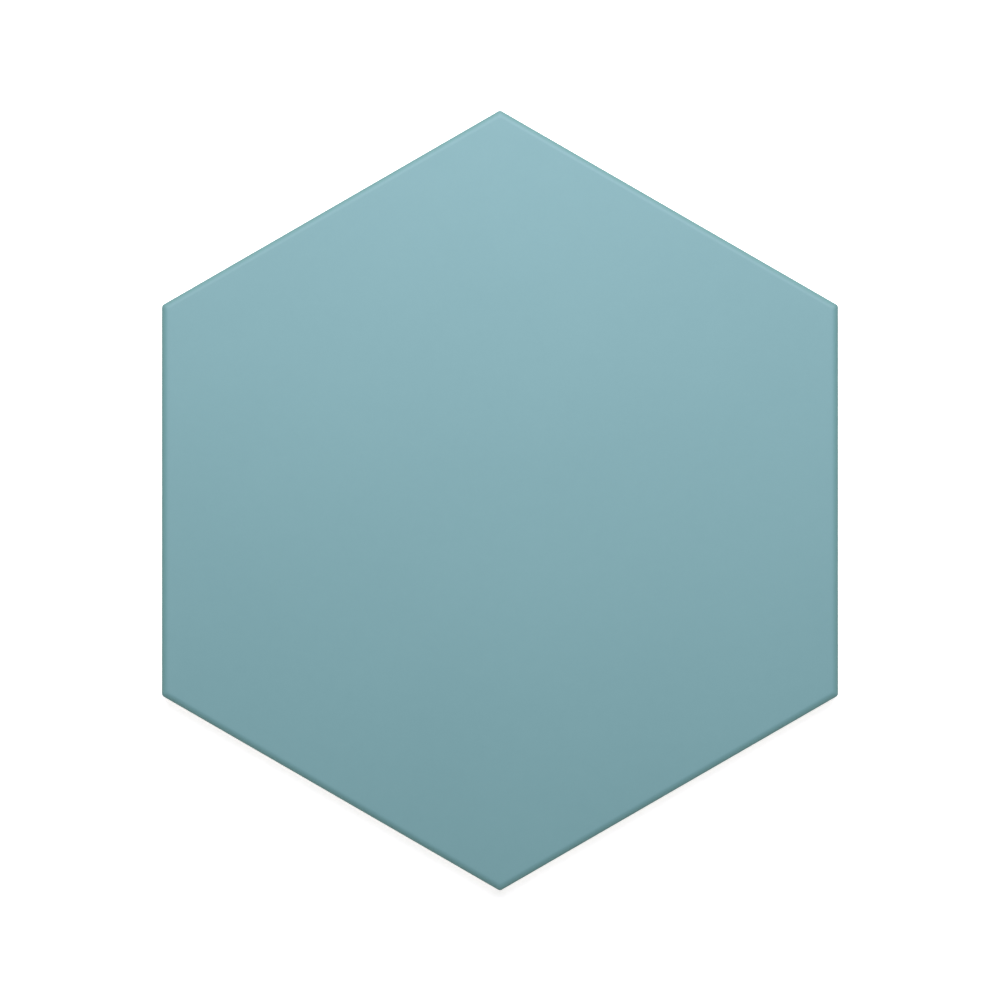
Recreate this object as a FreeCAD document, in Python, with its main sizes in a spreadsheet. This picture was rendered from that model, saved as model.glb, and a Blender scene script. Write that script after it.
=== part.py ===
import FreeCAD, Part
import math
import os
import Sketcher
from FreeCAD import Vector

# A pressed and glazed hexagon floor tile, fired as one piece.
#
# The tile lies on its bed in the XY plane with the glazed face up and its middle
# over the origin. Two corners point along +Y and -Y, two sides face +X and -X.
# Lengths are in millimetres and angles in degrees.

SIDES = 6
STEP = 360 / SIDES
HALF_STEP = STEP / 2

# How a sketch constraint names the ends and the centre of a line or arc, the sketch's
# X axis and its origin.
START, END, CENTRE = range(1, 4)
X_AXIS = -1
ORIGIN = (X_AXIS, START)

# Each size has a name, a value or formula, and what it measures on the tile.
SIZES = [
    ("across_flats", "200", "width from one side to the opposite side"),
    ("thickness", "9", "bed to glazed face"),
    ("corner_radius", "1", "rounding of the six upright corners"),
    ("cushion_width", "2", "how far in from the side the face starts to fall"),
    ("cushion_drop", "0.9", "how far the face has fallen at the side"),
    ("arris_radius", "0.4", "rounding where the fall turns into the side"),
    ("land_height", "3", "upright band of the side below the arris"),
    ("side_draft", "3", "lean of the side below the land, to leave the die"),
    ("bed_chamfer_in", "0.45", "chamfer around the bed, measured inwards"),
    ("bed_chamfer_up", "0.8", "chamfer around the bed, measured upwards"),
    ("key_pitch", "16", "spacing of the key cells on the back"),
    ("rib_width", "3", "rib left between two key cells, at the bed"),
    ("key_depth", "0.7", "depth of a key cell"),
    ("key_draft", "30", "lean of a key cell's walls, to leave the die"),
    ("rim_width", "8.5", "least plain rim between the key cells and the side"),
    ("cutter_margin", "2", "how far the cushion's cutting profile reaches past the tile"),
    ("corner_distance", "=across_flats / sqrt(3)", "middle to a sharp corner"),
    ("land_bottom", "=thickness - cushion_drop - land_height", "foot of the land"),
    (
        "cushion_radius",
        "=((cushion_width - arris_radius)^2 + cushion_drop^2 - arris_radius^2)"
        " / (2 * (cushion_drop - arris_radius))",
        "large arc of the cushion, which the arris arc carries on",
    ),
    ("cell_radius", "=(key_pitch - rib_width) / sqrt(3)", "key cell, middle to corner"),
    (
        "key_rings",
        "=floor((across_flats / 2 - rim_width - cell_radius) / (key_pitch * cos(30)))",
        "rings of key cells round the middle one that fit inside the rim",
    ),
]

doc = FreeCAD.newDocument("HexagonTile")


def make_sheet(rows):
    made = doc.addObject("Spreadsheet::Sheet", "Sizes")
    for number, (name, value, meaning) in enumerate(rows, start=1):
        made.set(f"A{number}", name)
        made.set(f"B{number}", value)
        made.set(f"C{number}", meaning)
        made.setAlias(f"B{number}", name)
    doc.recompute()
    return made


sheet = make_sheet(SIZES)


def size(name):
    """The present value of a size, for the first drawing of a sketch."""
    return float(sheet.get(name))


def polar(distance, angle, middle=Vector(0, 0, 0)):
    turn = math.radians(angle)
    return middle + Vector(distance * math.cos(turn), distance * math.sin(turn), 0)


def add_sketch(body, name, role):
    """An empty sketch on the plane of the body's own origin with that role."""
    plane = next(f for f in body.Origin.OriginFeatures if f.Role == role)
    sketch = body.newObject("Sketcher::SketchObject", name)
    sketch.AttachmentSupport = [(plane, "")]
    sketch.MapMode = "FlatFace"
    return sketch


def constrain(sketch, kind, *where):
    sketch.addConstraint(Sketcher.Constraint(kind, *where))


def drive(sketch, kind, *where, by):
    """A dimension that follows the sheet; `by` is one of its names or a formula."""
    start = sketch.evalExpression(by)
    index = sketch.addConstraint(Sketcher.Constraint(kind, *where, float(start)))
    sketch.setExpression(f"Constraints[{index}]", by)


def add_chain(sketch, points, closed):
    """Straight lines through the points, joined end to end; gives their numbers."""
    ends = points[1:] + points[:1] if closed else points[1:]
    lines = [sketch.addGeometry(Part.LineSegment(a, b), False) for a, b in zip(points, ends)]
    following = lines[1:] + lines[:1] if closed else lines[1:]
    for one, other in zip(lines, following):
        constrain(sketch, "Coincident", one, END, other, START)
    return lines


def guide_circle(sketch, middle, radius):
    """A construction circle; gives its number."""
    return sketch.addGeometry(Part.Circle(middle, Vector(0, 0, 1), radius), True)


def draw_outline(sketch):
    """The tile's outline: six sides around an inscribed circle, corners rounded."""
    half = size("across_flats") / 2
    radius = size("corner_radius")
    straight = (half - radius) * math.tan(math.radians(HALF_STEP))
    corner_reach = (half - radius) / math.cos(math.radians(HALF_STEP))
    sides, corners = [], []
    for number in range(SIDES):
        facing = STEP * number
        middle = polar(half, facing)
        line = Part.LineSegment(
            polar(straight, facing - 90, middle), polar(straight, facing + 90, middle)
        )
        sides.append(sketch.addGeometry(line, False))
    for number in range(SIDES):
        facing = STEP * number
        circle = Part.Circle(polar(corner_reach, facing + HALF_STEP), Vector(0, 0, 1), radius)
        arc = Part.ArcOfCircle(circle, math.radians(facing), math.radians(facing + STEP))
        corners.append(sketch.addGeometry(arc, False))
    inscribed = guide_circle(sketch, Vector(0, 0, 0), half)
    constrain(sketch, "Coincident", inscribed, CENTRE, *ORIGIN)
    drive(sketch, "Diameter", inscribed, by="Sizes.across_flats")
    for number, (side, corner) in enumerate(zip(sides, corners)):
        following = sides[(number + 1) % SIDES]
        constrain(sketch, "Tangent", side, END, corner, START)
        constrain(sketch, "Tangent", corner, END, following, START)
        constrain(sketch, "Tangent", side, inscribed)
    constrain(sketch, "Vertical", sides[0])
    for one, other in zip(sides, sides[1:]):
        constrain(sketch, "Angle", one, other, math.radians(STEP))
    drive(sketch, "Radius", corners[0], by="Sizes.corner_radius")
    for corner in corners[1:]:
        constrain(sketch, "Equal", corners[0], corner)


def draw_sweep_path(sketch):
    """The sharp hexagon the cushion follows, starting halfway along the +X side."""
    half = size("across_flats") / 2
    reach = size("corner_distance")
    middle_of_side = Vector(half, 0, 0)
    corners = [polar(reach, HALF_STEP + STEP * number) for number in range(SIDES)]
    lines = add_chain(sketch, [middle_of_side] + corners, closed=True)
    around = guide_circle(sketch, Vector(0, 0, 0), reach)
    constrain(sketch, "Coincident", around, CENTRE, *ORIGIN)
    drive(sketch, "Radius", around, by="Sizes.corner_distance")
    for line in lines[:-1]:
        constrain(sketch, "PointOnObject", line, END, around)
    constrain(sketch, "PointOnObject", lines[0], START, X_AXIS)
    drive(sketch, "DistanceX", *ORIGIN, lines[0], START, by="Sizes.across_flats / 2")
    constrain(sketch, "Vertical", lines[0])
    constrain(sketch, "Vertical", lines[-1])
    for line in lines[2:-1]:
        constrain(sketch, "Equal", lines[1], line)
    return lines


def draw_cushion_cutter(sketch):
    """What is taken off the arris: a long fall and a short rounding, run together."""
    side = size("across_flats") / 2
    top = size("thickness")
    width, drop = size("cushion_width"), size("cushion_drop")
    large, small = size("cushion_radius"), size("arris_radius")
    margin = size("cutter_margin")
    meeting = math.acos((width - small) / (large - small))
    up = Vector(0, 0, 1)
    large_circle = Part.Circle(Vector(side - width, top - large, 0), up, large)
    small_circle = Part.Circle(Vector(side - small, top - drop, 0), up, small)
    fall = sketch.addGeometry(Part.ArcOfCircle(large_circle, meeting, math.pi / 2), False)
    arris = sketch.addGeometry(Part.ArcOfCircle(small_circle, 0, meeting), False)
    lines = add_chain(
        sketch,
        [
            Vector(side, top - drop, 0),
            Vector(side + margin, top - drop, 0),
            Vector(side + margin, top + margin, 0),
            Vector(side - width, top + margin, 0),
            Vector(side - width, top, 0),
        ],
        closed=False,
    )
    floor, outer, lid, inner = lines
    constrain(sketch, "Tangent", arris, END, fall, START)
    constrain(sketch, "Coincident", arris, START, floor, START)
    constrain(sketch, "Coincident", inner, END, fall, END)
    for level in (floor, lid):
        constrain(sketch, "Horizontal", level)
    for upright in (outer, inner):
        constrain(sketch, "Vertical", upright)
    constrain(sketch, "PointOnObject", fall, CENTRE, inner)
    constrain(sketch, "PointOnObject", arris, CENTRE, floor)
    drive(sketch, "Radius", arris, by="Sizes.arris_radius")
    drive(sketch, "DistanceX", *ORIGIN, floor, START, by="Sizes.across_flats / 2")
    drive(
        sketch, "DistanceY", *ORIGIN, floor, START, by="Sizes.thickness - Sizes.cushion_drop"
    )
    drive(sketch, "DistanceX", inner, END, floor, START, by="Sizes.cushion_width")
    drive(sketch, "DistanceY", floor, START, inner, END, by="Sizes.cushion_drop")
    drive(sketch, "DistanceX", floor, START, floor, END, by="Sizes.cutter_margin")
    drive(sketch, "DistanceY", inner, END, inner, START, by="Sizes.cutter_margin")


def draw_cell(sketch, middle, held_by):
    """A key cell around a point; held_by is the point of the sketch its middle sits on."""
    reach = size("cell_radius")
    points = [polar(reach, STEP * number, middle) for number in range(SIDES)]
    lines = add_chain(sketch, points, closed=True)
    around = guide_circle(sketch, middle, reach)
    constrain(sketch, "Coincident", around, CENTRE, *held_by)
    drive(sketch, "Radius", around, by="Sizes.cell_radius")
    for line in lines:
        constrain(sketch, "PointOnObject", line, START, around)
    for line in lines[1:]:
        constrain(sketch, "Equal", lines[0], line)
    constrain(sketch, "Horizontal", lines[1])


def draw_ring_cell(sketch):
    """A cell next to the middle one, with guide lines to its middle and a third turn on."""
    pitch = size("key_pitch")
    guides = []
    for angle in (HALF_STEP, HALF_STEP + 2 * STEP):
        guide = sketch.addGeometry(Part.LineSegment(Vector(0, 0, 0), polar(pitch, angle)), True)
        constrain(sketch, "Coincident", guide, START, *ORIGIN)
        constrain(sketch, "Angle", X_AXIS, START, guide, START, math.radians(angle))
        drive(sketch, "Distance", guide, by="Sizes.key_pitch")
        guides.append(guide)
    draw_cell(sketch, polar(pitch, HALF_STEP), (guides[0], END))


def pad_outline(body, name, sketch, length, upward, draft=None):
    """Stretches the outline up or down from its plane, leaning inwards by a draft."""
    pad = body.newObject("PartDesign::Pad", name)
    pad.Profile = sketch
    pad.Reversed = not upward
    pad.setExpression("Length", length)
    if draft:
        pad.setExpression("TaperAngle", draft)
    return pad


def edges_of_bed(feature):
    """Names of the edges round the feature's lowest face."""
    bed = min(feature.Shape.Faces, key=lambda face: face.CenterOfMass.z)
    return [
        f"Edge{number}"
        for number, edge in enumerate(feature.Shape.Edges, start=1)
        if any(edge.isSame(other) for other in bed.Edges)
    ]


def press_body(body):
    """The pressed slab: an upright land above a side that leans in to the bed."""
    outline = add_sketch(body, "Outline", "XY_Plane")
    outline.setExpression("AttachmentOffset.Base.z", "Sizes.land_bottom")
    draw_outline(outline)
    pad_outline(body, "LandAndFace", outline, "Sizes.thickness - Sizes.land_bottom", True)
    lower = pad_outline(body, "LeaningSide", outline, "Sizes.land_bottom", False, "-Sizes.side_draft")
    doc.recompute()
    chamfer = body.newObject("PartDesign::Chamfer", "BedChamfer")
    chamfer.Base = (lower, edges_of_bed(lower))
    chamfer.ChamferType = "Two distances"
    chamfer.setExpression("Size", "Sizes.bed_chamfer_up")
    chamfer.setExpression("Size2", "Sizes.bed_chamfer_in")


def sweep_cushion(body):
    """Runs the cushion's cutter once round the face, mitred at the corners."""
    path = add_sketch(body, "CushionPath", "XY_Plane")
    lines = draw_sweep_path(path)
    profile = add_sketch(body, "CushionCutter", "XZ_Plane")
    draw_cushion_cutter(profile)
    doc.recompute()
    cut = body.newObject("PartDesign::SubtractivePipe", "CushionEdge")
    cut.Profile = profile
    cut.Spine = (path, [f"Edge{number + 1}" for number in range(len(lines))])
    cut.Transition = "Right corner"


def repeat_along(body, name, guide, count):
    """Repeats a key cell along a guide line, one pitch apart."""
    pattern = body.newObject("PartDesign::LinearPattern", name)
    pattern.Direction = guide
    pattern.Mode = "Spacing"
    pattern.setExpression("Offset", "Sizes.key_pitch")
    pattern.setExpression("Occurrences", count)
    return pattern


def sink_cell(body, name, sketch):
    """Presses one key cell into the bed, its walls leaning so that it leaves the die."""
    pocket = body.newObject("PartDesign::Pocket", name)
    pocket.Profile = sketch
    pocket.Reversed = True
    pocket.setExpression("Length", "Sizes.key_depth")
    pocket.setExpression("TaperAngle", "-Sizes.key_draft")
    return pocket


def press_keys(body):
    """Sinks the comb of key cells in the bed: the middle cell, and the rings round it.

    The rings are a third of the comb, turned three times. The third is a leaning block
    of rows: its rows run along one guide line and are stacked along the other.
    """
    middle = add_sketch(body, "MiddleCell", "XY_Plane")
    draw_cell(middle, Vector(0, 0, 0), ORIGIN)
    ring = add_sketch(body, "RingCell", "XY_Plane")
    draw_ring_cell(ring)
    doc.recompute()
    sink_cell(body, "MiddleKey", middle)
    ring_key = sink_cell(body, "RingKey", ring)

    keys = body.newObject("PartDesign::MultiTransform", "Keys")
    keys.Originals = [ring_key]
    thirds = body.newObject("PartDesign::PolarPattern", "KeyThirds")
    thirds.Axis = (ring, ["N_Axis"])
    thirds.Occurrences = SIDES // 2
    keys.Transformations = [
        repeat_along(body, "KeyRow", (ring, ["Axis0"]), "Sizes.key_rings"),
        repeat_along(body, "KeyStack", (ring, ["Axis1"]), "Sizes.key_rings + 1"),
        thirds,
    ]
    body.Tip = keys


tile = doc.addObject("PartDesign::Body", "hexagon_tile")
tile.Label = "hexagon_tile"
press_body(tile)
sweep_cushion(tile)
press_keys(tile)
doc.recompute()


def check_built():
    """Stops the build when a feature failed, a sketch is loose or a cut cut nothing."""
    before = None
    for feature in tile.Group:
        if "Invalid" in feature.State or "Error" in feature.State:
            raise RuntimeError(f"{feature.Name} did not build: {feature.State}")
        if feature.isDerivedFrom("Sketcher::SketchObject"):
            if not feature.FullyConstrained:
                raise RuntimeError(f"{feature.Name} is not fully constrained")
            continue
        shape = getattr(feature, "Shape", None)
        if shape is None or shape.isNull() or not shape.Solids:
            continue
        print(f"{feature.Name:14s} {shape.Volume:12.2f} mm3  {len(shape.Faces)} faces")
        if before is not None and math.isclose(shape.Volume, before):
            raise RuntimeError(f"{feature.Name} changed nothing")
        before = shape.Volume


check_built()
shape = tile.Shape
if shape.isNull() or not shape.isValid() or len(shape.Solids) != 1:
    raise RuntimeError("the tile is not one sound solid")
box = shape.BoundBox
print(f"tile {box.XLength:.3f} x {box.YLength:.3f} x {box.ZLength:.3f} mm")

os.makedirs("parts", exist_ok=True)
shape.exportStep(f"parts/{tile.Label}.step")
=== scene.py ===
import math

import bpy
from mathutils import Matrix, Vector


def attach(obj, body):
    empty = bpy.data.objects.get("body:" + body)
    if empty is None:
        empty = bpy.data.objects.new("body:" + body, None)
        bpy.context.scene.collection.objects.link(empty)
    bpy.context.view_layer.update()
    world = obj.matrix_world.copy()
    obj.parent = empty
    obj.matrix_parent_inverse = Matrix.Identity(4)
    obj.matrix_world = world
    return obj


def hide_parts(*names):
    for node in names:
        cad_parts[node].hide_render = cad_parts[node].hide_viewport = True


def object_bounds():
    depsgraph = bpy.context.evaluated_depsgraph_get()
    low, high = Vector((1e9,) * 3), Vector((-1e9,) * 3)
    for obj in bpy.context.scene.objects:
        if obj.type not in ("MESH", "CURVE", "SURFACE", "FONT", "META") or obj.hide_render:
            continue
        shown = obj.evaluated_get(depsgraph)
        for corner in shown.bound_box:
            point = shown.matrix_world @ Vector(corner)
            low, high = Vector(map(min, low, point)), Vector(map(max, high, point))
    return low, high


# A matt teal hexagon floor tile, lying face up on a pale floor.
# Sizes are typed in millimetres and used in metres.

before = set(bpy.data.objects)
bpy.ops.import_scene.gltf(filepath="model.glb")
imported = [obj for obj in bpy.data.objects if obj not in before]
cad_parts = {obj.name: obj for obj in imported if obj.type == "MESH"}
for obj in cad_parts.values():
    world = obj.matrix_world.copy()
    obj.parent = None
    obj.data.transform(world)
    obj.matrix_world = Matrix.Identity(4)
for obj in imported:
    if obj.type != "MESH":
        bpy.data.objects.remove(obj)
cad_low, cad_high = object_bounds()

MM = 0.001
SIDES = 6
STEP = math.radians(360 / SIDES)
HALF_STEP = STEP / 2

# The pressed body: its outline, the fallen edge of its face, and its side.
ACROSS_FLATS = cad_high[0] - cad_low[0]
THICKNESS = cad_high[2] - cad_low[2]
CORNER_RADIUS = 1 * MM
CORNER_CUTS = 6
CUSHION_WIDTH = 2 * MM
CUSHION_DROP = 0.9 * MM
CUSHION_CUTS = 10
ARRIS_RADIUS = 0.4 * MM
ARRIS_CUTS = 5
LAND_HEIGHT = 3 * MM
SIDE_DRAFT = math.radians(3)
BED_CHAMFER_IN = 0.45 * MM
BED_CHAMFER_UP = 0.8 * MM

# The comb of key cells in the bed.
KEY_PITCH = 16 * MM
KEY_RINGS = 6
RIB_WIDTH = 3 * MM
KEY_DEPTH = 0.7 * MM
KEY_DRAFT = math.radians(30)
RIB_EDGE_WIDTH = 0.12 * MM
RIB_EDGE_DROP = 0.03 * MM

# Points nearer than MERGE are one point, and edges blunter than SMOOTH_ANGLE are smooth.
MERGE = 0.01 * MM
SMOOTH_ANGLE = math.radians(40)


def select_only(*pieces):
    """Leaves only these pieces selected, with the first one active."""
    if bpy.context.object and bpy.context.object.mode != "OBJECT":
        bpy.ops.object.mode_set(mode="OBJECT")
    bpy.ops.object.select_all(action="DESELECT")
    for piece in pieces:
        piece.select_set(True)
    if pieces:
        bpy.context.view_layer.objects.active = pieces[0]


def edit(piece, kind="VERT"):
    """Opens one piece alone in edit mode, with all its points, edges or faces selected."""
    select_only(piece)
    bpy.ops.object.mode_set(mode="EDIT")
    bpy.ops.mesh.select_mode(type=kind)
    bpy.ops.mesh.select_all(action="SELECT")


def leave_edit():
    bpy.ops.object.mode_set(mode="OBJECT")


def settle(piece):
    """Puts the piece's place into its mesh, so that the object itself sits at the origin."""
    select_only(piece)
    bpy.ops.object.transform_apply(location=True, rotation=True, scale=True)


def apply_modifiers(piece):
    select_only(piece)
    for modifier in list(piece.modifiers):
        bpy.ops.object.modifier_apply(modifier=modifier.name)


def join(*pieces):
    """Makes several pieces one, and merges the points where they meet."""
    select_only(*pieces)
    bpy.ops.object.join()
    edit(pieces[0])
    bpy.ops.mesh.remove_doubles(threshold=MERGE)
    leave_edit()
    return pieces[0]


def draw_out(reach, height, stations):
    """Extrudes the selected ring from its own reach and height to those of each station."""
    for next_reach, next_height in stations:
        bpy.ops.mesh.extrude_edges_move()
        grow = next_reach / reach
        bpy.ops.transform.resize(value=(grow, grow, 1), center_override=(0, 0, 0))
        bpy.ops.transform.translate(value=(0, 0, next_height - height))
        reach, height = next_reach, next_height


def smooth(piece):
    """Shades blunt edges as round ones, and keeps the large flat faces beside them flat."""
    select_only(piece)
    bpy.ops.object.shade_smooth_by_angle(angle=SMOOTH_ANGLE)
    weighted = piece.modifiers.new("flat faces first", "WEIGHTED_NORMAL")
    weighted.keep_sharp = True
    apply_modifiers(piece)


def to_corner(half_width):
    """Middle to sharp corner of a hexagon that measures half_width to its side."""
    return half_width / math.cos(HALF_STEP)


def cushion_stations():
    """Half widths and heights down the fallen edge of the face, from the flat outwards.

    A long arc leaves the flat face without a break, and a short arc carries it on
    into the upright side.
    """
    half = ACROSS_FLATS / 2
    run = CUSHION_WIDTH - ARRIS_RADIUS
    fall = CUSHION_DROP - ARRIS_RADIUS
    radius = (run**2 + CUSHION_DROP**2 - ARRIS_RADIUS**2) / (2 * fall)
    meeting = math.asin(run / (radius - ARRIS_RADIUS))
    stations = []
    for cut in range(1, CUSHION_CUTS + 1):
        turn = meeting * cut / CUSHION_CUTS
        outwards = half - CUSHION_WIDTH + radius * math.sin(turn)
        stations.append((outwards, THICKNESS - radius + radius * math.cos(turn)))
    for cut in range(1, ARRIS_CUTS + 1):
        turn = meeting + (math.pi / 2 - meeting) * cut / ARRIS_CUTS
        outwards = half - ARRIS_RADIUS + ARRIS_RADIUS * math.sin(turn)
        stations.append((outwards, THICKNESS - CUSHION_DROP + ARRIS_RADIUS * math.cos(turn)))
    return stations


def side_stations():
    """Half widths and heights down the side: upright land, leaning side, chamfer."""
    half = ACROSS_FLATS / 2
    land_bottom = THICKNESS - CUSHION_DROP - LAND_HEIGHT
    lean = math.tan(SIDE_DRAFT)
    above_chamfer = half - (land_bottom - BED_CHAMFER_UP) * lean
    at_bed = half - land_bottom * lean - BED_CHAMFER_IN
    return [(half, land_bottom), (above_chamfer, BED_CHAMFER_UP), (at_bed, 0)]


def model_shell():
    """Face, cushion and side, drawn out ring by ring from the flat face."""
    flat = ACROSS_FLATS / 2 - CUSHION_WIDTH
    select_only()
    bpy.ops.mesh.primitive_circle_add(
        vertices=SIDES, radius=to_corner(flat), fill_type="NGON", location=(0, 0, THICKNESS)
    )
    shell = bpy.context.object
    settle(shell)
    edit(shell)
    bpy.ops.mesh.bevel(
        affect="VERTICES",
        offset=CORNER_RADIUS * math.tan(HALF_STEP),
        offset_type="OFFSET",
        segments=CORNER_CUTS,
    )
    bpy.ops.mesh.select_all(action="SELECT")
    bpy.ops.mesh.select_mode(type="EDGE")
    draw_out(flat, THICKNESS, cushion_stations() + side_stations())
    leave_edit()
    return shell


def add_cell():
    """One cell of the comb at the middle of the bed, out to the middle of its ribs."""
    select_only()
    bpy.ops.mesh.primitive_circle_add(
        vertices=SIDES, radius=to_corner(KEY_PITCH / 2), fill_type="NGON", rotation=(0, 0, HALF_STEP)
    )
    cell = bpy.context.object
    settle(cell)
    edit(cell, "FACE")
    # The cell opens downwards. Inwards from its border come the flat of the rib, the
    # rib's softened edge, the leaning wall, and the softened foot of the wall.
    bpy.ops.mesh.flip_normals()
    bpy.ops.mesh.inset(thickness=RIB_WIDTH / 2 - RIB_EDGE_WIDTH, depth=0)
    bpy.ops.mesh.inset(thickness=RIB_EDGE_WIDTH, depth=-RIB_EDGE_DROP)
    bpy.ops.mesh.inset(thickness=KEY_DEPTH * math.tan(KEY_DRAFT), depth=2 * RIB_EDGE_DROP - KEY_DEPTH)
    bpy.ops.mesh.inset(thickness=RIB_EDGE_WIDTH, depth=-RIB_EDGE_DROP)
    leave_edit()
    return cell


def one_pitch(angle):
    """The step from one cell to the next, in the angle's direction."""
    return (KEY_PITCH * math.cos(angle), KEY_PITCH * math.sin(angle), 0)


def repeat_along(piece, angle, count):
    array = piece.modifiers.new("row", "ARRAY")
    array.count = count
    array.use_relative_offset = False
    array.use_constant_offset = True
    array.constant_offset_displace = one_pitch(angle)


def model_comb():
    """The key cells in the bed: a block of rows, set three times round the middle cell."""
    block = add_cell()
    edit(block)
    bpy.ops.transform.translate(value=one_pitch(HALF_STEP))
    leave_edit()
    repeat_along(block, HALF_STEP, KEY_RINGS)
    repeat_along(block, HALF_STEP + 2 * STEP, KEY_RINGS + 1)
    apply_modifiers(block)
    thirds = [block]
    for turns in (1, 2):
        select_only(block)
        bpy.ops.object.duplicate()
        thirds.append(bpy.context.object)
        edit(thirds[-1])
        bpy.ops.transform.rotate(value=turns * 2 * STEP, orient_axis="Z", center_override=(0, 0, 0))
        leave_edit()
    return join(*thirds, add_cell())


def model_tile():
    """The whole tile: the shell and the comb, with the plain rim filled in between them."""
    tile = join(model_shell(), model_comb())
    tile.name = "glazed_tile"
    edit(tile, "EDGE")
    # Only the foot of the side and the border of the comb are open, with the rim between.
    bpy.ops.mesh.select_all(action="DESELECT")
    bpy.ops.mesh.select_non_manifold(use_wire=False, use_multi_face=False, use_verts=False)
    bpy.ops.mesh.fill(use_beauty=True)
    bpy.ops.mesh.select_all(action="SELECT")
    bpy.ops.mesh.normals_make_consistent(inside=False)
    leave_edit()
    smooth(tile)
    return tile


def linear(hex_colour):
    """An sRGB hex value as the linear colour the shader reads, by the sRGB curve."""
    values = [int(hex_colour[i : i + 2], 16) / 255 for i in (1, 3, 5)]
    return tuple(v / 12.92 if v <= 0.04045 else ((v + 0.055) / 1.055) ** 2.4 for v in values) + (1,)


def add_node(tree, kind, inputs=None, **settings):
    """Adds a node; an input is a value, or a (node, output) pair to link from."""
    node = tree.nodes.new(kind)
    for name, value in settings.items():
        setattr(node, name, value)
    for socket, value in (inputs or {}).items():
        if isinstance(value, tuple) and isinstance(value[0], bpy.types.Node):
            tree.links.new(value[0].outputs[value[1]], node.inputs[socket])
        else:
            node.inputs[socket].default_value = value
    return node


# Sockets of the Mix node: its factor, then those for colours and those for values.
FACTOR = 0
COLOUR_A, COLOUR_B, COLOUR_OUT = 6, 7, 2
VALUE_A, VALUE_B, VALUE_OUT = 2, 3, 0

# Below, a pattern's SIZE or LENGTH is its real size, and its DETAIL the number of finer
# layers that it has.

# The glaze's lower edge wanders along the side, with slow runs and a finer raggedness.
GLAZE_LINE = 4.6 * MM
RUN_LENGTH, RUN_DETAIL = 11 * MM, 1.5
RUN_HEIGHT = 3.2 * MM
RAGGED_LENGTH, RAGGED_DETAIL = 1.6 * MM, 2
RAGGED_HEIGHT = 0.5 * MM
GLAZE_FEATHER = 0.3 * MM
BEAD_WIDTH = 1.1 * MM


def glaze_edge(tree, position, height):
    """Where the glaze covers the body, and where it rolls into a bead at its lower edge."""
    runs = add_node(
        tree,
        "ShaderNodeTexNoise",
        {"Vector": position, "Scale": 1 / RUN_LENGTH, "Detail": RUN_DETAIL},
    )
    ragged = add_node(
        tree,
        "ShaderNodeTexNoise",
        {"Vector": position, "Scale": 1 / RAGGED_LENGTH, "Detail": RAGGED_DETAIL},
    )
    wander = add_node(
        tree,
        "ShaderNodeMath",
        {0: (runs, 0), 1: RUN_HEIGHT, 2: GLAZE_LINE - RUN_HEIGHT / 2},
        operation="MULTIPLY_ADD",
    )
    edge = add_node(
        tree,
        "ShaderNodeMath",
        {0: (ragged, 0), 1: RAGGED_HEIGHT, 2: (wander, 0)},
        operation="MULTIPLY_ADD",
    )
    above = add_node(tree, "ShaderNodeMath", {0: height, 1: (edge, 0)}, operation="SUBTRACT")
    covered = add_node(
        tree,
        "ShaderNodeMapRange",
        {"Value": (above, 0), "From Max": GLAZE_FEATHER},
        interpolation_type="SMOOTHSTEP",
    )
    rolled = add_node(
        tree,
        "ShaderNodeMapRange",
        {
            "Value": (above, 0),
            "From Min": GLAZE_FEATHER,
            "From Max": BEAD_WIDTH,
            "To Min": 1,
            "To Max": 0,
        },
        interpolation_type="SMOOTHSTEP",
    )
    return (covered, 0), (rolled, 0)


# The glaze's colours, and the patterns that mix deep and pale, each by its share.
GLAZE_DEEP = "#6E9B9A"
GLAZE_PALE = "#76A3A1"
# The arris colour is a greener tint with painted shade in it: darker along the rounded edge, as its
# shading falls.
GLAZE_ARRIS_TINT_AND_SHADE = "#648D81"
GLAZE_POOLED = "#5F9090"
CLOUD_SIZE, CLOUD_DETAIL, CLOUD_SHARE = 55 * MM, 2, 0.45
MOTTLE_SIZE, MOTTLE_DETAIL, MOTTLE_SHARE = 3.5 * MM, 3, 0.3
# Sprayed droplets are finer than this. They are drawn as coarse as a render can show.
DROPLET_SIZE, DROPLET_DETAIL, DROPLET_SHARE = 0.55 * MM, 1, 0.25


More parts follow.
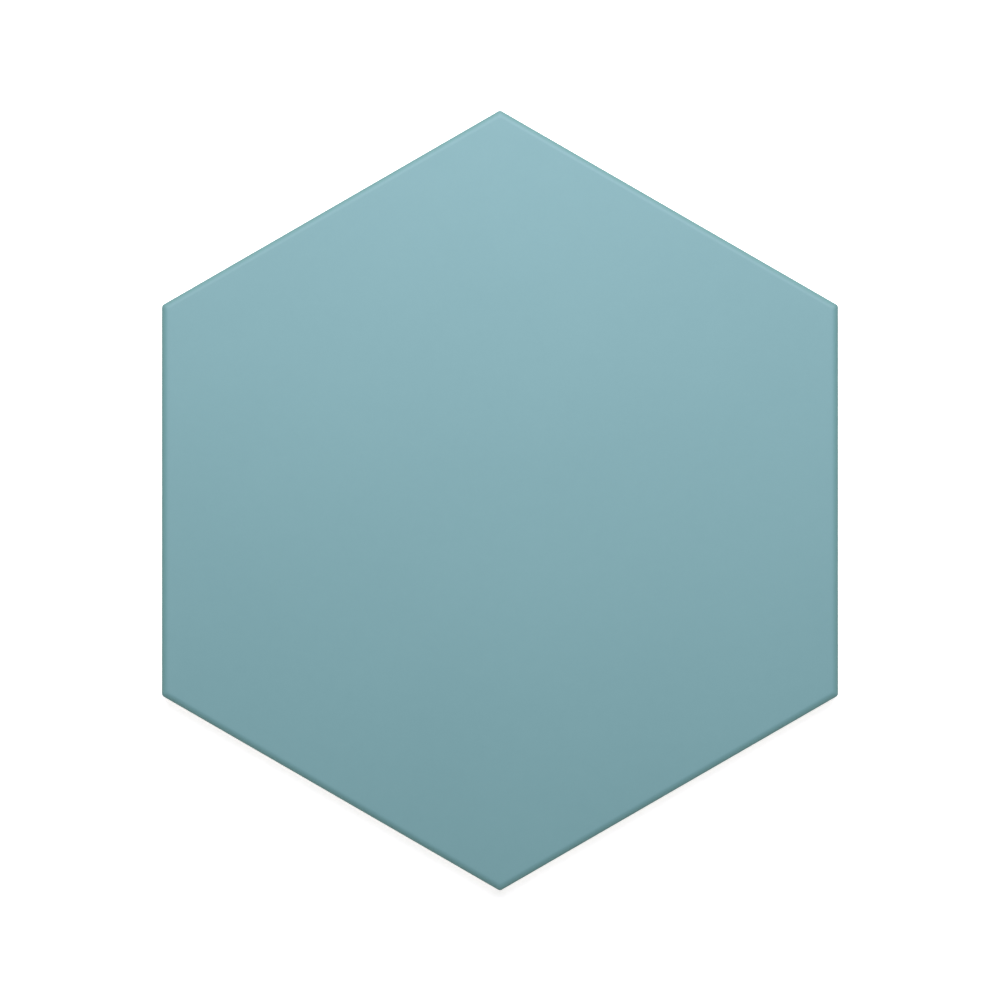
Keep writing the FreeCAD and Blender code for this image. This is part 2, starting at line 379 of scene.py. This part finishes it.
def glaze_colour(tree, position, height, rolled):
    """Teal, faintly clouded as sprayed.

    It is greener where it turns over the arris, and darker there by painted shade that
    deepens the edge line; it is deeper where it pools in the bead.
    """
    clouds = add_node(
        tree,
        "ShaderNodeTexNoise",
        {"Vector": position, "Scale": 1 / CLOUD_SIZE, "Detail": CLOUD_DETAIL},
    )
    mottle = add_node(
        tree,
        "ShaderNodeTexNoise",
        {"Vector": position, "Scale": 1 / MOTTLE_SIZE, "Detail": MOTTLE_DETAIL},
    )
    droplets = add_node(
        tree,
        "ShaderNodeTexNoise",
        {"Vector": position, "Scale": 1 / DROPLET_SIZE, "Detail": DROPLET_DETAIL},
    )
    depth = add_node(
        tree, "ShaderNodeMath", {0: (clouds, 0), 1: CLOUD_SHARE}, operation="MULTIPLY"
    )
    for pattern, share in ((mottle, MOTTLE_SHARE), (droplets, DROPLET_SHARE)):
        depth = add_node(
            tree,
            "ShaderNodeMath",
            {0: (pattern, 0), 1: share, 2: (depth, 0)},
            operation="MULTIPLY_ADD",
        )
    sprayed = add_node(
        tree,
        "ShaderNodeMix",
        {FACTOR: (depth, 0), COLOUR_A: linear(GLAZE_DEEP), COLOUR_B: linear(GLAZE_PALE)},
        data_type="RGBA",
    )
    # Painted shade and tint: within a cushion's drop of the arris, the glaze is mixed darker and
    # greener.
    above_arris = add_node(
        tree, "ShaderNodeMath", {0: height, 1: THICKNESS - CUSHION_DROP}, operation="SUBTRACT"
    )
    from_arris = add_node(tree, "ShaderNodeMath", {0: (above_arris, 0)}, operation="ABSOLUTE")
    arris_tint_and_shade = add_node(
        tree,
        "ShaderNodeMapRange",
        {"Value": (from_arris, 0), "From Max": CUSHION_DROP, "To Min": 1, "To Max": 0},
    )
    tinted_and_shaded = add_node(
        tree,
        "ShaderNodeMix",
        {FACTOR: (arris_tint_and_shade, 0), COLOUR_A: (sprayed, COLOUR_OUT), COLOUR_B: linear(GLAZE_ARRIS_TINT_AND_SHADE)},
        data_type="RGBA",
    )
    return add_node(
        tree,
        "ShaderNodeMix",
        {FACTOR: rolled, COLOUR_A: (tinted_and_shaded, COLOUR_OUT), COLOUR_B: linear(GLAZE_POOLED)},
        data_type="RGBA",
    )


# The bare body's colours, and its patterns. Specks and wash show where their pattern
# rises past FROM, and reach their STRENGTH at FULL.
CLAY_DARK = "#B4ADA1"
CLAY_PALE = "#C3BDB2"
CLAY_SPECK = "#8D857A"
KILN_WASH = "#E4E1DA"
CLAY_TONE_SIZE, CLAY_TONE_DETAIL = 24 * MM, 3
SPECK_SIZE, SPECK_DETAIL = 0.45 * MM, 2
SPECK_FROM, SPECK_FULL, SPECK_STRENGTH = 0.62, 0.74, 0.55
WASH_PATCH_SIZE, WASH_PATCH_DETAIL = 6 * MM, 5
WASH_FROM, WASH_FULL, WASH_STRENGTH = 0.4, 0.7, 0.4
WASH_HEIGHT = 0.2 * MM


def clay_colour(tree, position, height):
    """Fired porcelain, grey-white and finely specked.

    Paler kiln wash is left on the ribs of the bed, on which the tile lay in the kiln.
    """
    tones = add_node(
        tree,
        "ShaderNodeTexNoise",
        {"Vector": position, "Scale": 1 / CLAY_TONE_SIZE, "Detail": CLAY_TONE_DETAIL},
    )
    clay = add_node(
        tree,
        "ShaderNodeMix",
        {FACTOR: (tones, 0), COLOUR_A: linear(CLAY_DARK), COLOUR_B: linear(CLAY_PALE)},
        data_type="RGBA",
    )
    grains = add_node(
        tree,
        "ShaderNodeTexNoise",
        {"Vector": position, "Scale": 1 / SPECK_SIZE, "Detail": SPECK_DETAIL},
    )
    specks = add_node(
        tree,
        "ShaderNodeMapRange",
        {"Value": (grains, 0), "From Min": SPECK_FROM, "From Max": SPECK_FULL, "To Max": SPECK_STRENGTH},
    )
    specked = add_node(
        tree,
        "ShaderNodeMix",
        {FACTOR: (specks, 0), COLOUR_A: (clay, COLOUR_OUT), COLOUR_B: linear(CLAY_SPECK)},
        data_type="RGBA",
    )
    patches = add_node(
        tree,
        "ShaderNodeTexNoise",
        {"Vector": position, "Scale": 1 / WASH_PATCH_SIZE, "Detail": WASH_PATCH_DETAIL},
    )
    worn = add_node(
        tree,
        "ShaderNodeMapRange",
        {"Value": (patches, 0), "From Min": WASH_FROM, "From Max": WASH_FULL, "To Max": WASH_STRENGTH},
    )
    touching = add_node(
        tree,
        "ShaderNodeMapRange",
        {
            "Value": height,
            "From Min": RIB_EDGE_DROP,
            "From Max": WASH_HEIGHT,
            "To Min": 1,
            "To Max": 0,
        },
    )
    wash = add_node(tree, "ShaderNodeMath", {0: (worn, 0), 1: (touching, 0)}, operation="MULTIPLY")
    return add_node(
        tree,
        "ShaderNodeMix",
        {FACTOR: (wash, 0), COLOUR_A: (specked, COLOUR_OUT), COLOUR_B: linear(KILN_WASH)},
        data_type="RGBA",
    )


# Relief: the size of each pattern, and how high it stands. Heights are left in
# millimetres, and the Bump node's Distance turns them to metres. The marks of the spray
# are finer than this too, and are drawn as coarse as the droplets.
PEEL_SIZE, PEEL_DETAIL, PEEL_HEIGHT = 1.9 * MM, 1, 0.006
SPRAY_SIZE, SPRAY_DETAIL, SPRAY_HEIGHT = 0.5 * MM, 1, 0.0012
GRAIN_SIZE, GRAIN_DETAIL, GRAIN_HEIGHT = 0.35 * MM, 4, 0.05
SCRAPE_SIZE, SCRAPE_DETAIL, SCRAPE_HEIGHT = 0.4 * MM, 2, 0.03
SCRAPE_STRETCH = 0.06
GLAZE_COAT = 0.1
BEAD_HEIGHT = 0.1


def surface_relief(tree, position, covered, rolled):
    """The glaze's soft orange peel, and the body's pressed grain.

    The glaze stands a coat higher than the body and ends in a bead. The body also has
    the upright scrapes of the die.
    """
    peel = add_node(
        tree,
        "ShaderNodeTexNoise",
        {"Vector": position, "Scale": 1 / PEEL_SIZE, "Detail": PEEL_DETAIL},
    )
    spray = add_node(
        tree,
        "ShaderNodeTexNoise",
        {"Vector": position, "Scale": 1 / SPRAY_SIZE, "Detail": SPRAY_DETAIL},
    )
    grain = add_node(
        tree,
        "ShaderNodeTexNoise",
        {"Vector": position, "Scale": 1 / GRAIN_SIZE, "Detail": GRAIN_DETAIL},
    )
    upright = add_node(
        tree, "ShaderNodeMapping", {"Vector": position, "Scale": (1, 1, SCRAPE_STRETCH)}
    )
    scrapes = add_node(
        tree,
        "ShaderNodeTexNoise",
        {"Vector": (upright, 0), "Scale": 1 / SCRAPE_SIZE, "Detail": SCRAPE_DETAIL},
    )
    coat = add_node(
        tree,
        "ShaderNodeMath",
        {0: (peel, 0), 1: PEEL_HEIGHT, 2: GLAZE_COAT},
        operation="MULTIPLY_ADD",
    )
    sprayed = add_node(
        tree,
        "ShaderNodeMath",
        {0: (spray, 0), 1: SPRAY_HEIGHT, 2: (coat, 0)},
        operation="MULTIPLY_ADD",
    )
    glaze = add_node(
        tree,
        "ShaderNodeMath",
        {0: rolled, 1: BEAD_HEIGHT, 2: (sprayed, 0)},
        operation="MULTIPLY_ADD",
    )
    pressed = add_node(
        tree, "ShaderNodeMath", {0: (grain, 0), 1: GRAIN_HEIGHT}, operation="MULTIPLY"
    )
    body = add_node(
        tree,
        "ShaderNodeMath",
        {0: (scrapes, 0), 1: SCRAPE_HEIGHT, 2: (pressed, 0)},
        operation="MULTIPLY_ADD",
    )
    height = add_node(
        tree,
        "ShaderNodeMix",
        {FACTOR: covered, VALUE_A: (body, 0), VALUE_B: (glaze, 0)},
        data_type="FLOAT",
    )
    return add_node(tree, "ShaderNodeBump", {"Height": (height, VALUE_OUT), "Distance": MM})


# Gloss: a matt glaze with faint duller patches, on a body that is duller still.
GLAZE_ROUGHNESS = 0.48
ROUGHNESS_VARIES = 0.02
GLOSS_PATCH_SIZE, GLOSS_PATCH_DETAIL = 7 * MM, 3
CLAY_ROUGHNESS = 0.8
GLAZE_IOR = 1.5


def matt_glaze_on_porcelain():
    """Sprayed matt glaze fused on pressed porcelain.

    It gives the eye a soft wide sheen over an even teal, and below the glaze line a bare,
    duller and rougher grey-white body.
    """
    material = bpy.data.materials.new("matt_glaze_on_porcelain")
    material.use_nodes = True
    tree = material.node_tree
    shader = tree.nodes["Principled BSDF"]
    place = add_node(tree, "ShaderNodeTexCoord")
    position = (place, "Object")
    axes = add_node(tree, "ShaderNodeSeparateXYZ", {"Vector": position})
    height = (axes, "Z")
    covered, rolled = glaze_edge(tree, position, height)
    glaze = glaze_colour(tree, position, height, rolled)
    clay = clay_colour(tree, position, height)
    colour = add_node(
        tree,
        "ShaderNodeMix",
        {FACTOR: covered, COLOUR_A: (clay, COLOUR_OUT), COLOUR_B: (glaze, COLOUR_OUT)},
        data_type="RGBA",
    )
    patches = add_node(
        tree,
        "ShaderNodeTexNoise",
        {"Vector": position, "Scale": 1 / GLOSS_PATCH_SIZE, "Detail": GLOSS_PATCH_DETAIL},
    )
    glaze_roughness = add_node(
        tree,
        "ShaderNodeMapRange",
        {
            "Value": (patches, 0),
            "To Min": GLAZE_ROUGHNESS - ROUGHNESS_VARIES,
            "To Max": GLAZE_ROUGHNESS + ROUGHNESS_VARIES,
        },
    )
    roughness = add_node(
        tree,
        "ShaderNodeMix",
        {FACTOR: covered, VALUE_A: CLAY_ROUGHNESS, VALUE_B: (glaze_roughness, 0)},
        data_type="FLOAT",
    )
    relief = surface_relief(tree, position, covered, rolled)
    tree.links.new(colour.outputs[COLOUR_OUT], shader.inputs["Base Color"])
    tree.links.new(roughness.outputs[VALUE_OUT], shader.inputs["Roughness"])
    tree.links.new(relief.outputs[0], shader.inputs["Normal"])
    shader.inputs["IOR"].default_value = GLAZE_IOR
    return material


# The studio, in metres. FLOOR_GAP keeps the floor just clear of the tile's bed.
WHITE = linear("#FFFFFF")
FLOOR_REACH = 7.4
FLOOR_CUTS = 96
FLOOR_GAP = 0.02 * MM
COVE_RADIUS = 0.6
COVE_CUTS = 12
FLOOR_PAINT = "#F4F4F4"
FLOOR_ROUGHNESS = 0.9
# The floor glows as a light table does, so that shadows stay faint.
FLOOR_GLOW = 0.75


def cove_stations():
    """Reaches and heights up the curve at the rim of the floor."""
    stations = []
    for cut in range(1, COVE_CUTS + 1):
        turn = math.pi / 2 * cut / COVE_CUTS
        rise = COVE_RADIUS * (1 - math.cos(turn))
        stations.append((FLOOR_REACH + COVE_RADIUS * math.sin(turn), rise - FLOOR_GAP))
    return stations


def add_floor():
    """A round studio floor that curves up into a low wall, so that it has no skyline.

    Matt white paint gives the eye an even pale ground with no gloss.
    """
    select_only()
    bpy.ops.mesh.primitive_circle_add(
        vertices=FLOOR_CUTS, radius=FLOOR_REACH, fill_type="NGON", location=(0, 0, -FLOOR_GAP)
    )
    floor = bpy.context.object
    floor.name = "floor"
    settle(floor)
    edit(floor, "EDGE")
    draw_out(FLOOR_REACH, -FLOOR_GAP, cove_stations())
    leave_edit()
    smooth(floor)
    material = bpy.data.materials.new("matt_white_paint")
    material.use_nodes = True
    shader = material.node_tree.nodes["Principled BSDF"]
    shader.inputs["Base Color"].default_value = linear(FLOOR_PAINT)
    shader.inputs["Roughness"].default_value = FLOOR_ROUGHNESS
    shader.inputs["Emission Color"].default_value = WHITE
    shader.inputs["Emission Strength"].default_value = FLOOR_GLOW
    floor.data.materials.append(material)


# A softbox stands beyond the top corner, so that the face pales towards it.
SOFTBOX_PLACE = Vector((0.015, 0.33, 0.62))
SOFTBOX_SIZE = (0.6, 0.5)
SOFTBOX_WATTS = 6.38
SOFTBOX_COLOUR = (1.015, 1.0, 1.135)


def add_softbox():
    light = bpy.data.lights.new("softbox", "AREA")
    light.shape = "RECTANGLE"
    light.size, light.size_y = SOFTBOX_SIZE
    light.energy = SOFTBOX_WATTS
    light.color = SOFTBOX_COLOUR
    softbox = bpy.data.objects.new("softbox", light)
    bpy.context.scene.collection.objects.link(softbox)
    softbox.location = SOFTBOX_PLACE
    softbox.rotation_mode = "QUATERNION"
    softbox.rotation_quaternion = (-SOFTBOX_PLACE).to_track_quat("-Z", "Y")


# A little even white light from all round fills the softbox's shadows.
ROOM_LIGHT = 0.085


def add_room_light():
    room = bpy.data.worlds.new("room")
    bpy.context.scene.world = room
    room.use_nodes = True
    background = room.node_tree.nodes["Background"]
    background.inputs["Color"].default_value = WHITE
    background.inputs["Strength"].default_value = ROOM_LIGHT


# The camera looks straight down from far off, so that the whole face is seen square on.
CAMERA_HEIGHT = 3.0
CAMERA_REACH = 20.0
VIEW_WIDTH = 296 * MM
SENSOR_WIDTH = 36


def add_camera():
    data = bpy.data.cameras.new("camera")
    data.sensor_width = SENSOR_WIDTH
    data.lens = SENSOR_WIDTH * CAMERA_HEIGHT / VIEW_WIDTH
    data.clip_end = CAMERA_REACH
    camera = bpy.data.objects.new("camera", data)
    bpy.context.scene.collection.objects.link(camera)
    camera.location = (0, 0, THICKNESS + CAMERA_HEIGHT)
    bpy.context.scene.camera = camera


tile = model_tile()
tile.data.materials.append(matt_glaze_on_porcelain())
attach(tile, "root")
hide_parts("hexagon_tile")

add_floor()
add_softbox()
add_room_light()
add_camera()
bpy.context.scene.view_settings.view_transform = "Standard"
